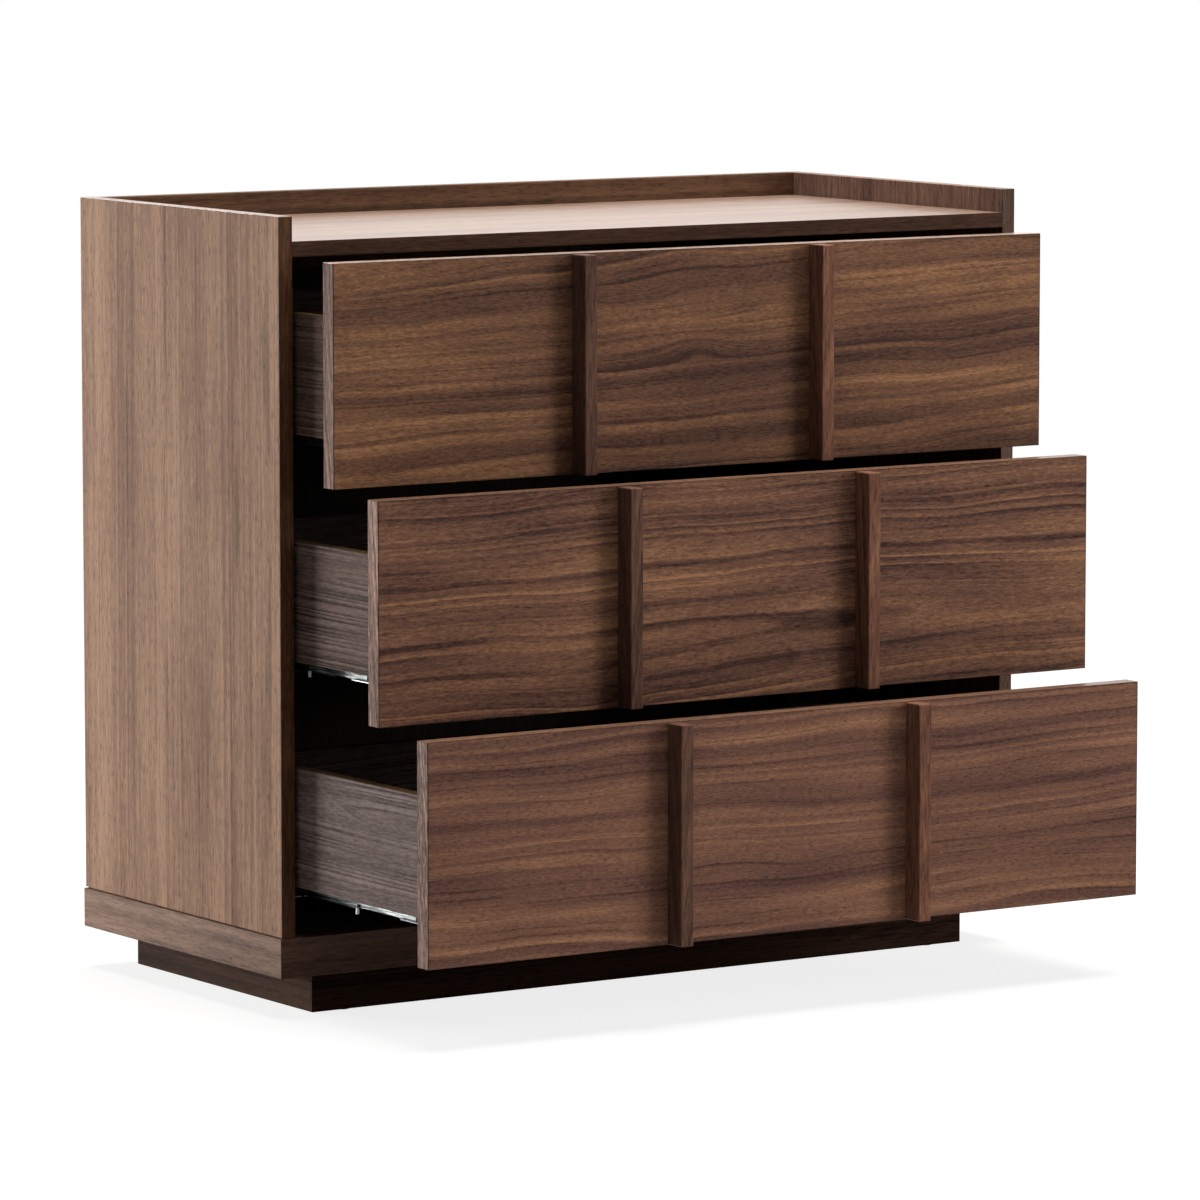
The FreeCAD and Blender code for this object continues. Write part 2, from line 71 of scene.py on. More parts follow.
def node(tree, kind, inputs, **settings):
    """A shader node with its settings made and its inputs fed by name or place."""
    made = tree.nodes.new("ShaderNode" + kind)
    for key, value in settings.items():
        setattr(made, key, value)
    for key, value in inputs.items():
        feed(tree, made.inputs[key], value)
    return made


def reckon(tree, operation, *values):
    """One step of arithmetic."""
    return node(tree, "Math", dict(enumerate(values)), operation=operation).outputs[0]


def vectors(tree, operation, *values):
    """One step of arithmetic on points. A length comes out as a number."""
    made = node(tree, "VectorMath", dict(enumerate(values)), operation=operation)
    return made.outputs["Value" if operation in ("LENGTH", "DOT_PRODUCT") else "Vector"]


def stretch(tree, value, low, high, to_low=0.0, to_high=1.0):
    """Spread the stretch of values from low to high over another stretch, and stop at its ends."""
    inputs = {"Value": value, "From Min": low, "From Max": high, "To Min": to_low, "To Max": to_high}
    return node(tree, "MapRange", inputs).outputs[0]


def mottle(tree, point, sizes, detail, roughness=0.5):
    """Soft random patches, about as large as the three sizes."""
    spread = vectors(tree, "DIVIDE", point, sizes)
    inputs = {"Vector": spread, "Scale": 1.0, "Detail": detail, "Roughness": roughness}
    return node(tree, "TexNoise", inputs)


def stripes(tree, depth, width, detail, roughness=0.5):
    """Random stripes of about one width, laid in order of depth."""
    across = reckon(tree, "DIVIDE", depth, width)
    inputs = {"W": across, "Scale": 1.0, "Detail": detail, "Roughness": roughness}
    return node(tree, "TexNoise", inputs, noise_dimensions="1D").outputs["Fac"]


def tones_by(tree, value, tones):
    """Colours laid in even steps along a value."""
    ramp = node(tree, "ValToRGB", {0: value})
    elements = ramp.color_ramp.elements
    while len(elements) < len(tones):
        elements.new(1.0)
    for i, tone in enumerate(tones):
        elements[i].position = i / (len(tones) - 1)
        elements[i].color = (*tone, 1.0)
    return ramp.outputs["Color"]


# The axes in order along each way of the grain: along it, and across it both ways
axis_order = {"X": (0, 1, 2), "Y": (1, 2, 0), "Z": (2, 0, 1)}


def along_grain(tree, grain):
    """A point of the piece, as distance along the grain and across it both ways."""
    parts = node(tree, "SeparateXYZ", {0: node(tree, "TexCoord", {}).outputs["Object"]}).outputs
    return node(tree, "CombineXYZ", {i: parts[axis] for i, axis in enumerate(axis_order[grain])}).outputs[0]


pattern_middle = 0.5
sway_octaves = 1.0
across_grain = (0.0, 1.0, 1.0)


def ring_depth(tree, point, heart, drift, sways, knot):
    """Distance from the log's heart, which drifts beside the piece, with the rings swaying round a knot."""
    along = node(tree, "SeparateXYZ", {0: point}).outputs[0]
    heart_line = vectors(tree, "MULTIPLY_ADD", along, (0.0, *drift), (0.0, *heart))
    offset = vectors(tree, "SUBTRACT", point, heart_line)
    for reach, sizes in sways:
        cloud = mottle(tree, point, sizes, sway_octaves).outputs["Color"]
        wander = vectors(tree, "SUBTRACT", cloud, (pattern_middle, pattern_middle, pattern_middle))
        offset = vectors(tree, "MULTIPLY_ADD", wander, (reach, reach, reach), offset)
    depth = vectors(tree, "LENGTH", vectors(tree, "MULTIPLY", offset, across_grain))
    if knot is None:
        return depth
    away = vectors(tree, "DIVIDE", vectors(tree, "SUBTRACT", point, knot["place"]), knot["sizes"])
    falling = reckon(tree, "MULTIPLY", vectors(tree, "DOT_PRODUCT", away, away), -1.0)
    swell = reckon(tree, "POWER", math.e, falling)
    return reckon(tree, "MULTIPLY_ADD", swell, knot["lift"], depth)


# Each cut of veneer: how its rings sway, their width, the stripes within them, the shares of rings, broad
# stripes, narrow stripes, fibre and region in its tone, its marks, and the part of that tone that shows.
crown_cut = {"sways": ((0.034, (0.45, 0.14, 0.14)), (0.010, (0.14, 0.055, 0.055)),
                       (0.001, (0.03, 0.01, 0.01))),
             "drift": (0.02, 0.02), "late": 1.4, "broad": 0.036, "narrow": 0.0045,
             "shares": (0.34, 0.22, 0.11, 0.17, 0.16), "line_width": 0.018, "line_shade": 0.40,
             "fibre": (0.008, 0.0014, 0.0014), "pores": (0.006, 0.0014, 0.0014), "pore_shade": 0.32,
             "streak_shade": 0.10, "flecks": (0.006, 0.0014, 0.0014), "fleck_shine": 0.18,
             "span": (0.25, 0.73)}
straight_cut = {"sways": ((0.010, (0.9, 0.25, 0.25)), (0.002, (0.2, 0.05, 0.05))), "drift": (0.0, 0.0),
                "ring": 0.014, "late": 1.6, "broad": 0.050, "narrow": 0.0055,
                "shares": (0.10, 0.22, 0.22, 0.28, 0.18), "line_width": 0.045, "line_shade": 0.3,
                "fibre": (0.026, 0.0022, 0.0022), "pores": (0.012, 0.0020, 0.0020), "pore_shade": 0.34,
                "streak_shade": 0.12, "flecks": (0.010, 0.0020, 0.0020), "fleck_shine": 0.20,
                "span": (0.25, 0.73)}

smooth_stripe = 0.0
uneven_group = 3.0
uneven_reach = 2.4
ring_start = 0.12
dullest_year = 0.45
ring_middle = 0.45
faintest_ring = 0.10
clear_patch = (0.24, 0.03, 0.03)
region_patch = (0.34, 0.05, 0.05)
line_patch = (0.14, 0.016, 0.016)
line_breadth = (0.005, 0.030)
streak_patch = (0.22, 0.010, 0.010)
fleck_offset = (0.37, 0.11, 0.23)

# Random patterns of veneer: octaves, roughness, and the part of the pattern's range that shows
patterns = {"clear": (1.0, 0.5, 0.36, 0.64), "region": (2.0, 0.5, 0.35, 0.65),
            "broad": (2.0, 0.5, 0.25, 0.75), "narrow": (3.0, 0.65, 0.30, 0.70),
            "fibre": (3.0, 0.65, 0.33, 0.67), "line": (1.0, 0.5, 0.45, 0.60),
            "streak": (2.0, 0.5, 0.54, 0.70), "pores": (1.0, 0.5, 0.56, 0.68),
            "flecks": (1.0, 0.5, 0.58, 0.70)}


def patches(tree, kind, point, sizes, to_low=0.0, to_high=1.0):
    """Patches of one pattern, from none to full."""
    detail, roughness, low, high = patterns[kind]
    cloud = mottle(tree, point, sizes, detail, roughness).outputs["Fac"]
    return stretch(tree, cloud, low, high, to_low, to_high)


def bands(tree, kind, depth, width):
    """Stripes of one pattern, from none to full."""
    detail, roughness, low, high = patterns[kind]
    return stretch(tree, stripes(tree, depth, width, detail, roughness), low, high)


def growth_rings(tree, depth, width, late):
    """Rings of uneven width that darken slowly outward and stop short, each with its own tone."""
    uneven = reckon(tree, "MULTIPLY", stripes(tree, depth, uneven_group * width, smooth_stripe), uneven_reach)
    count = reckon(tree, "ADD", reckon(tree, "DIVIDE", depth, width), uneven)
    within = reckon(tree, "FRACT", count)
    darkening = reckon(tree, "SUBTRACT", 1.0, reckon(tree, "POWER", within, late))
    soft = reckon(tree, "MULTIPLY", darkening, stretch(tree, within, 0.0, ring_start))
    whole = reckon(tree, "FLOOR", count)
    year = node(tree, "TexWhiteNoise", {"W": whole}, noise_dimensions="1D").outputs["Value"]
    return reckon(tree, "MULTIPLY", soft, stretch(tree, year, 0.0, 1.0, dullest_year, 1.0))


def figure(tree, point, depth, fibre, cut):
    """How pale each point of the veneer is, from its rings, stripes, fibre and broad regions."""
    clear = patches(tree, "clear", point, clear_patch, faintest_ring, 1.0)
    rings = reckon(tree, "SUBTRACT", growth_rings(tree, depth, cut["ring"], cut["late"]), ring_middle)
    rings = reckon(tree, "MULTIPLY_ADD", rings, clear, ring_middle)
    broad = bands(tree, "broad", depth, cut["broad"])
    narrow = bands(tree, "narrow", depth, cut["narrow"])
    region = patches(tree, "region", point, region_patch)
    value = 0.0
    for part, share in zip((rings, broad, narrow, fibre, region), cut["shares"]):
        value = reckon(tree, "MULTIPLY_ADD", part, share, value)
    return stretch(tree, value, *cut["span"])


def marks(tree, point, depth, pores, cut):
    """How far fine dark lines, pores and streaks shade the veneer, and how far bright flecks lift it."""
    stripe = stripes(tree, depth, cut["line_width"], smooth_stripe)
    from_line = reckon(tree, "SUBTRACT", stripe, pattern_middle)
    line = stretch(tree, reckon(tree, "ABSOLUTE", from_line), *line_breadth, cut["line_shade"], 0.0)
    fade = reckon(tree, "MULTIPLY", patches(tree, "line", point, line_patch), -1.0)
    shade = reckon(tree, "MULTIPLY_ADD", line, fade, 1.0)
    shade = reckon(tree, "MULTIPLY_ADD", pores, -cut["pore_shade"], shade)
    streak = patches(tree, "streak", point, streak_patch)
    shade = reckon(tree, "MULTIPLY_ADD", streak, -cut["streak_shade"], shade)
    flecks = patches(tree, "flecks", vectors(tree, "ADD", point, fleck_offset), cut["flecks"])
    return reckon(tree, "MULTIPLY_ADD", flecks, cut["fleck_shine"], shade)


arris_radius = 0.0011
arris_samples = 4
arris_turn = (0.92, 0.99)
flank_turn = (0.5, 0.8)
fibre_rise = 0.4
relief_strength = 0.2
relief_height = 0.0002
satin_roughness = (0.42, 0.58)
satin_specular = 0.05


def wood(name, grain, heart, tones, cut, roughness=satin_roughness, specular=satin_specular, knot=None,
         arris_shade=0.0, painted_flank_shade=0.0):
    """Satin wood cut from a log whose heart runs beside the piece, so that growth rings make its figure."""
    material = bpy.data.materials.new(name)
    material.use_nodes = True
    tree = material.node_tree
    shader = tree.nodes["Principled BSDF"]
    point = along_grain(tree, grain)
    depth = ring_depth(tree, point, heart, cut["drift"], cut["sways"], knot)
    fibre = patches(tree, "fibre", point, cut["fibre"])
    pores = patches(tree, "pores", point, cut["pores"])
    colour = tones_by(tree, figure(tree, point, depth, fibre, cut), tones)
    shade = marks(tree, point, depth, pores, cut)
    arris = node(tree, "Bevel", {"Radius": arris_radius}, samples=arris_samples).outputs[0]
    turned = vectors(tree, "DOT_PRODUCT", arris, node(tree, "NewGeometry", {}).outputs["Normal"])
    shade = reckon(tree, "MULTIPLY", shade, stretch(tree, turned, *arris_turn, 1.0 - arris_shade, 1.0))
    # Painted shade: faces turned sideways along X are darkened by the share given.
    if painted_flank_shade:
        facing = node(tree, "SeparateXYZ", {0: node(tree, "TexCoord", {}).outputs["Normal"]}).outputs[0]
        painted_flank = stretch(tree, reckon(tree, "ABSOLUTE", facing), *flank_turn, 1.0, 1.0 - painted_flank_shade)
        shade = reckon(tree, "MULTIPLY", shade, painted_flank)
    shaded = node(tree, "Mix", {0: 1.0, 6: colour, 7: shade}, data_type="RGBA", blend_type="MULTIPLY")
    feed(tree, shader.inputs["Base Color"], shaded.outputs[2])
    feed(tree, shader.inputs["Roughness"], stretch(tree, fibre, 0.0, 1.0, *roughness))
    shader.inputs["Specular IOR Level"].default_value = specular
    height = reckon(tree, "SUBTRACT", reckon(tree, "MULTIPLY", fibre, fibre_rise), pores)
    relief = {"Strength": relief_strength, "Distance": relief_height, "Height": height, "Normal": arris}
    feed(tree, shader.inputs["Normal"], node(tree, "Bump", relief).outputs[0])
    return material


def paler(tones, *times):
    """The same tones, so many times as bright, all alike or in red, green and blue."""
    red, green, blue = times if len(times) == 3 else times * 3
    return tuple((tone[0] * red, tone[1] * green, tone[2] * blue) for tone in tones)


def dress(material, *names):
    """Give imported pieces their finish."""
    for name in names:
        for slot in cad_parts[name].material_slots:
            slot.material = material


short_plinth_tones = ((0.013, 0.0065, 0.0042), (0.033, 0.0167, 0.0108), (0.056, 0.0286, 0.0184))
# Painted shade: the front and back boards take the side boards' tones a little darker.
shaded_long_plinth_tones = paler(short_plinth_tones, 0.9)
plinth_cut = dict(straight_cut, span=(0.31, 0.67))
dull = {"specular": 0.01, "roughness": (0.6, 0.75)}
long_plinth_heart = (0.4, -0.5)
short_plinth_heart = (-0.5, 0.2)
long_plinth = wood("plinth_walnut_long", "X", long_plinth_heart, shaded_long_plinth_tones, plinth_cut, **dull)
dress(long_plinth, "plinth_front", "plinth_back")
short_plinth = wood("plinth_walnut_short", "Y", short_plinth_heart, short_plinth_tones, plinth_cut, **dull)
dress(short_plinth, "plinth_left", "plinth_right")

# Brace and corner blocks: bare softwood glued and screwed inside the plinth, out of sight.
# The blocks tie the plinth boards to the board above, and the brace holds up the middle.

pine_tones = ((0.36, 0.22, 0.10), (0.52, 0.36, 0.19), (0.62, 0.46, 0.27))
brace_heart = (0.1, 0.09)
blocks_heart = (0.3, 0.3)
dress(wood("bare_pine_brace", "Y", brace_heart, pine_tones, straight_cut), "plinth_brace")
dress(wood("bare_pine_blocks", "Z", blocks_heart, pine_tones, straight_cut), "plinth_corner_blocks")

# Glides: five pads of dark nylon with a rounded lower edge, each moulded round a steel pin.
# They are knocked into shallow seats under the plinth, and the chest stands on them.

same_point = 1e-6
same_radius = 1e-4


def span(corners):
    """The low and high corners of the box round some points."""
    return (Vector([min(co[i] for co in corners) for i in range(3)]),
            Vector([max(co[i] for co in corners) for i in range(3)]))


def loose_solids(name, radius):
    """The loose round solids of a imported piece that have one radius, each as the list of its corners."""
    work = bmesh.new()
    work.from_mesh(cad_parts[name].data)
    bmesh.ops.remove_doubles(work, verts=work.verts[:], dist=same_point)
    work.verts.index_update()
    seen = set()
    solids = []
    for first in work.verts:
        if first.index in seen:
            continue
        seen.add(first.index)
        reached = [first]
        for vertex in reached:
            for edge in vertex.link_edges:
                other = edge.other_vert(vertex)
                if other.index not in seen:
                    seen.add(other.index)
                    reached.append(other)
        corners = [vertex.co.copy() for vertex in reached]
        low, high = span(corners)
        if any(abs(size - 2 * radius) < same_radius for size in high - low):
            solids.append(corners)
    work.free()
    return solids


low, high = cad_box
chest_middle = (Vector(low) + Vector(high)) / 2


def lie(corners):
    """How a round solid lies: its axis, the middle of its tail, the way to its head, and its length.

    The head is the wider end, or the end nearer the middle of the chest where both are alike.
    """
    low, high = span(corners)
    size = high - low
    axis = max(range(3), key=lambda i: abs(size[i] - size[i - 1]) + abs(size[i] - size[i - 2]))
    ends = []
    for level in (low[axis], high[axis]):
        end = (low + high) / 2
        end[axis] = level
        width = max((co - end).length for co in corners if abs(co[axis] - level) < same_point)
        ends.append((round(width / same_radius), -(end - chest_middle).length, end))
    tail, head = [end[2] for end in sorted(ends, key=lambda end: end[:2])]
    return axis, tail, math.copysign(1.0, head[axis] - tail[axis]), size[axis]


def turned_piece(name, solids, profile, sides):
    """One piece of several turned solids, each ringed from tail to head by a profile of its length."""
    work = bmesh.new()
    for corners in solids:
        axis, tail, way, length = lie(corners)
        across, aside = (axis + 1) % 3, (axis + 2) % 3
        rows = []
        for height, reach in profile(length):
            row = []
            for i in range(sides):
                angle = i * math.tau / sides
                radius = reach(angle) if callable(reach) else reach
                place = tail.copy()
                place[axis] += way * height
                place[across] += radius * math.cos(angle)
                place[aside] += radius * math.sin(angle)
                row.append(work.verts.new(place))
            rows.append(row)
        for lower, upper in zip(rows, rows[1:]):
            for i in range(sides):
                work.faces.new((lower[i - 1], lower[i], upper[i], upper[i - 1]))
        work.faces.new(rows[0])
        work.faces.new(rows[-1])
    bmesh.ops.recalc_face_normals(work, faces=work.faces[:])
    mesh = bpy.data.meshes.new(name)
    work.to_mesh(mesh)
    work.free()
    return mesh


def put(mesh, finish, body, stands_for=None):
    """Set a new piece in the scene with its finish, the body it rides on and the node that it stands for."""
    piece = bpy.data.objects.new(mesh.name, mesh)
    bpy.context.scene.collection.objects.link(piece)
    mesh.materials.append(finish)
    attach(piece, body)
    if stands_for:
        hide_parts(stands_for)


pad_radius = 0.007
pad_height = 0.002
pad_ease = 0.0006
pin_radius = 0.0015
pin_tip_radius = 0.0003
pin_point = 0.0015
pad_sides = 40


def glide_profile(length):
    """From the pin's point down to the rounded pad."""
    top_of_pad = length - pad_height
    return ((0.0, pin_tip_radius), (pin_point, pin_radius), (top_of_pad, pin_radius),
            (top_of_pad, pad_radius), (length - pad_ease, pad_radius),
            (length - pad_ease / 3, pad_radius - pad_ease / 2), (length, pad_radius - 2 * pad_ease))


surface_octaves = 4.0
surface_roughness = 0.6
surface_colours = (0.35, 0.65)
surface_sheen = (0.3, 0.7)
surface_relief = 0.1


def plain(name, tones, patch, roughness, metallic=0.0, specular=0.5):
    """A smooth finish with faint patches of colour and sheen."""
    material = bpy.data.materials.new(name)
    material.use_nodes = True
    tree = material.node_tree
    shader = tree.nodes["Principled BSDF"]
    point = node(tree, "TexCoord", {}).outputs["Object"]
    cloud = mottle(tree, point, patch, surface_octaves, surface_roughness).outputs["Fac"]
    feed(tree, shader.inputs["Base Color"], tones_by(tree, stretch(tree, cloud, *surface_colours), tones))
    feed(tree, shader.inputs["Roughness"], stretch(tree, cloud, *surface_sheen, *roughness))
    shader.inputs["Metallic"].default_value = metallic
    shader.inputs["Specular IOR Level"].default_value = specular
    bump = node(tree, "Bump", {"Strength": surface_relief, "Distance": relief_height, "Height": cloud})
    feed(tree, shader.inputs["Normal"], bump.outputs[0])
    return material


nylon_tones = ((0.012, 0.011, 0.011), (0.022, 0.020, 0.019))
nylon = plain("dark_nylon", nylon_tones, patch=(0.002, 0.002, 0.002), roughness=(0.45, 0.6))
pads = turned_piece("floor_glide_pads", loose_solids("floor_glides", pad_radius), glide_profile, pad_sides)
put(pads, nylon, "carcass", "floor_glides")

# Base: a slab made of a mitred edge frame round two boards, dowelled to the sides above it.
# The edges are veneered in walnut with the grain running level round the chest, and the under board is bare.
# The front and back edges carry much darker tones than the left and right ones, as painted shade.

short_base_tones = ((0.078, 0.045, 0.031), (0.170, 0.102, 0.071), (0.262, 0.165, 0.119))
# Painted shade: the front and back edges take the left and right edges' tones much darker.
shaded_long_base_tones = paler(short_base_tones, 0.62, 0.55, 0.54)
long_base_heart = (-0.45, 0.3)
short_base_heart = (0.35, 0.3)
long_base = wood("base_walnut_long", "X", long_base_heart, shaded_long_base_tones, straight_cut)
dress(long_base, "base_front_edge", "base_back_edge")
short_base = wood("base_walnut_short", "Y", short_base_heart, short_base_tones, straight_cut, specular=0.02)
dress(short_base, "base_left_edge", "base_right_edge")
floor_tones = ((0.045, 0.028, 0.020), (0.075, 0.047, 0.033), (0.11, 0.072, 0.05))
floor_heart = (0.1, -0.3)
dress(wood("floor_walnut", "X", floor_heart, floor_tones, straight_cut), "floor_board")
fibreboard_tones = ((0.30, 0.20, 0.12), (0.38, 0.26, 0.16), (0.44, 0.31, 0.20))
fibreboard = plain("bare_fibreboard", fibreboard_tones, patch=(0.0012, 0.0012, 0.0012), roughness=(0.75, 0.9),
                   specular=0.2)
dress(fibreboard, "under_board")

# Sides: two tall boards that stand on the base on dowels and rise past the top, as the ends of its gallery.
# Straight-grained walnut veneer runs upright on both faces, dull-lacquered on the left board, satin on the
# right.

side_tones = ((0.158, 0.091, 0.066), (0.248, 0.151, 0.103), (0.338, 0.214, 0.144))
side_heart = (0.02, 0.65)
dress(wood("side_walnut", "Z", side_heart, side_tones, straight_cut, **dull), "left_side_panel")
# Painted light: the right board takes the left board's tones, made paler.
far_side_lit_tones = paler(side_tones, 1.08, 1.12, 1.25)
far_side_heart = (0.02, 0.9)
even_cut = dict(straight_cut, broad=0.012, narrow=0.004, line_shade=0.1, streak_shade=0.1)
dress(wood("far_side_lit_walnut", "Z", far_side_heart, far_side_lit_tones, even_cut), "right_side_panel")

# Top and gallery rail: a board between the sides, held by cams and dowels, and the rim behind it.
# Both are veneered in walnut with the grain running from side to side, under a satin lacquer.

top_tones = ((0.16, 0.092, 0.062), (0.250, 0.152, 0.104), (0.340, 0.218, 0.155))
top_heart = (-0.3, 1.0)
top = wood("top_walnut", "X", top_heart, top_tones, straight_cut, specular=0.8, roughness=(0.28, 0.40))
dress(top, "top_panel")
rail_tones = ((0.062, 0.032, 0.018), (0.119, 0.060, 0.033), (0.175, 0.091, 0.050))
rail_heart = (0.25, 0.5)
dress(wood("gallery_walnut", "X", rail_heart, rail_tones, straight_cut), "gallery_rail")

# Edge strips: thin walnut strips that cover the raw edges of the veneered boards.
# They are glued to the front edges of the sides and of the top, and along the rim of the left side,
# and their outer arrises are sanded soft.

round_profile = 0.5


def eased_block(name, low, high, ease, segments, axis=None, outward=-1):
    """A block between two corners, with all its arrises eased or only those of its outer face on one axis."""
    work = bmesh.new()
    bmesh.ops.create_cube(work, size=1.0)
    for vertex in work.verts:
        for i in range(3):
            vertex.co[i] = low[i] if vertex.co[i] < 0.0 else high[i]
    edges = work.edges[:]
    if axis is not None:
        face = low[axis] if outward < 0 else high[axis]
        edges = [edge for edge in edges if all(abs(v.co[axis] - face) < ease for v in edge.verts)]
    bmesh.ops.bevel(work, geom=edges, offset=ease, segments=segments, profile=round_profile,
                    affect="EDGES")
    mesh = bpy.data.meshes.new(name)
    work.to_mesh(mesh)
    work.free()
    return mesh


strip_thickness = 0.0005
strip_ease = 0.0002
strip_segments = 2
# Each face of a board: the axis it lies across, and which end of that axis
faces = {"left": (0, -1), "right": (0, 1), "front": (1, -1), "upper": (2, 1)}


def edge_strip(name, board, face):
    """A strip over one face of a packed board."""
    axis, outward = faces[face]
    low, high = (Vector(corner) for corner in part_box(board))
    near = low if outward < 0 else high
    other = high if outward < 0 else low
    other[axis] = near[axis]
    near[axis] += outward * strip_thickness
    return eased_block(name, low, high, strip_ease, strip_segments, axis, outward)


strip_tones = ((0.036, 0.016, 0.009), (0.073, 0.033, 0.019), (0.115, 0.055, 0.033))
# Painted light: the strips on the sides carry paler copies of the top strip's tones.
right_strip_lit_tones = ((0.047, 0.026, 0.019), (0.095, 0.055, 0.040), (0.148, 0.091, 0.069))
left_strip_lit_tones = ((0.049, 0.021, 0.010), (0.098, 0.043, 0.020), (0.155, 0.071, 0.035))
strip_heart = (0.1, 0.4)
for board, grain, tones, slot in (("left_side_panel", "Z", left_strip_lit_tones, "walnut_side"),
                                  ("right_side_panel", "Z", right_strip_lit_tones, "walnut_side"),
                                  ("top_panel", "X", strip_tones, "walnut_top")):
    name = board + "_edge_strip"
    strip_wood = wood(name, grain, strip_heart, tones, straight_cut)
    put(edge_strip(name, board, "front"), strip_wood, "carcass")
rim_tones = paler(side_tones, 0.95)
rim_heart = (0.9, 0.3)
rim = wood("rim_strip", "Y", rim_heart, rim_tones, straight_cut, specular=0.5, roughness=(0.3, 0.4))
put(edge_strip("left_side_panel_rim_strip", "left_side_panel", "upper"), rim, "carcass")

# Back: a thin board covered in dark walnut-effect foil.
# It is slid into grooves in the sides and in the gallery rail, and stiffens the carcass.

back_tones = ((0.016, 0.011, 0.008), (0.027, 0.019, 0.014), (0.040, 0.029, 0.021))
back_heart = (0.1, 0.35)
dress(wood("back_foil", "Z", back_heart, back_tones, straight_cut), "back_board")

# Carcass fixings: fluted beech dowels, cast zinc cams with their bolts, and plated screws with cross heads.
# They hold the boards together and are sunk in them, so only the cams and the screw heads show.

dowel_radius = 0.003
flute_depth = 0.0003
dowel_taper = 0.0015
dowel_flutes = 14


def flute(angle):
    """The grooved outline of a dowel."""
    return dowel_radius - flute_depth * (1.0 - math.cos(dowel_flutes * angle)) / 2


def dowel_profile(length):
    """A fluted stick with tapered ends."""
    tip = dowel_radius - 2 * flute_depth
    return (0.0, tip), (dowel_taper, flute), (length - dowel_taper, flute), (length, tip)


def cross(reach, half_width):
    """The outline of a cross recess, four arms round a centre."""
    def outline(angle):
        turn = abs((angle + math.pi / 4) % (math.pi / 2) - math.pi / 4)
        return min(reach / math.cos(turn), half_width / max(math.sin(turn), same_point))
    return outline


screw_radius = 0.0018
screw_point = 0.003
screw_tip_radius = 0.0001
screw_head_radius = 0.004
screw_head_height = 0.0021
screw_crown_radius = 0.0028
screw_recess = (cross(reach=0.0021, half_width=0.0005), cross(reach=0.0016, half_width=0.0004))
screw_recess_depth = 0.0013
thread_pitch = 0.0012
thread_depth = 0.0005


def thread(start, end, radius):
    """Ridges of thread from one height to another."""
    rings = []
    for i in range(int((end - start) / thread_pitch)):
        level = start + i * thread_pitch
        rings += [(level + thread_pitch / 2, radius), (level + thread_pitch, radius - thread_depth)]
    return rings


def screw_profile(length):
    """A point, ridges of thread, and a rounded head with a cross recess."""
    neck = length - screw_head_height
    shoulder = length - screw_head_height / 2
    return ([(0.0, screw_tip_radius), (screw_point, screw_radius - thread_depth)]
            + thread(screw_point, neck, screw_radius)
            + [(neck, screw_radius), (neck, screw_head_radius), (shoulder, screw_head_radius),
               ((length + shoulder) / 2, (screw_head_radius * 2 + screw_crown_radius) / 3),
               (length, screw_crown_radius), (length, screw_recess[0]),
               (length - screw_recess_depth, screw_recess[1])])


cam_radius = 0.0075
cam_ease = 0.0004
cam_lip = 0.0020
cam_slope = 0.0004
cam_waist_radius = 0.0062
cam_waist_height = 0.0035
cam_slot = (cross(reach=0.0050, half_width=0.0009), cross(reach=0.0046, half_width=0.0008))
cam_slot_depth = 0.0027


def cam_profile(length):
    """A cast drum with a waist that draws the bolt in, and a cross slot in its face."""
    waist_end = cam_lip + cam_slope + cam_waist_height
    return ((0.0, cam_radius - cam_ease), (cam_ease, cam_radius), (cam_lip, cam_radius),
            (cam_lip + cam_slope, cam_waist_radius), (waist_end, cam_waist_radius),
            (waist_end + cam_slope, cam_radius), (length - cam_ease, cam_radius),
            (length, cam_radius - cam_ease), (length, cam_slot[0]), (length - cam_slot_depth, cam_slot[1]))


bolt_radius = 0.0025
bolt_neck_radius = 0.0015
bolt_neck_length = 0.0035
bolt_head_length = 0.0022
bolt_ease = 0.0006


def bolt_profile(length):
    """A threaded rod with a neck behind the head that the cam grips."""
    neck = length - bolt_head_length - bolt_neck_length
    head = length - bolt_head_length
    return ([(0.0, bolt_neck_radius), (bolt_ease, bolt_radius - thread_depth)]
            + thread(bolt_ease, length / 2, bolt_radius)
            + [(neck - bolt_ease, bolt_radius), (neck, bolt_neck_radius), (head, bolt_neck_radius),
               (head + bolt_ease, bolt_radius), (length - bolt_ease, bolt_radius),
               (length, bolt_neck_radius)])


beech_tones = ((0.44, 0.28, 0.14), (0.56, 0.38, 0.21), (0.64, 0.46, 0.28))
beech_heart = (0.1, 0.4)
beech = wood("beech", "X", beech_heart, beech_tones, straight_cut)
zinc_tones = ((0.36, 0.36, 0.36), (0.52, 0.52, 0.52))
zinc = plain("cast_zinc", zinc_tones, patch=(0.003, 0.003, 0.003), roughness=(0.35, 0.5), metallic=1.0)
plating_tones = ((0.52, 0.52, 0.50), (0.68, 0.68, 0.66))
plating = plain("plated_steel", plating_tones, patch=(0.004, 0.004, 0.004), roughness=(0.22, 0.36),
                metallic=1.0)
round_sides = 48
# Each kind of fitting: its name, the radius that tells it apart, its profile, finish and slot
fittings = (("fluted_dowels", dowel_radius, dowel_profile, beech, "beech_dowel"),
            ("cross_head_screws", screw_head_radius, screw_profile, plating, "plated_screw"),
            ("slotted_cams", cam_radius, cam_profile, zinc, "cam_zinc"),
            ("cam_bolts", bolt_radius, bolt_profile, plating, "plated_screw"))


def fit_out(packed, body):
    """Turned fittings in place of the plain ones packed in one node."""
    for kind, radius, profile, finish, slot in fittings:
        solids = loose_solids(packed, radius)
        if solids:
            put(turned_piece(body + "_" + kind, solids, profile, round_sides), finish, body, packed)


for packed in ("carcass_dowels", "carcass_screws", "carcass_cams"):
    fit_out(packed, "carcass")
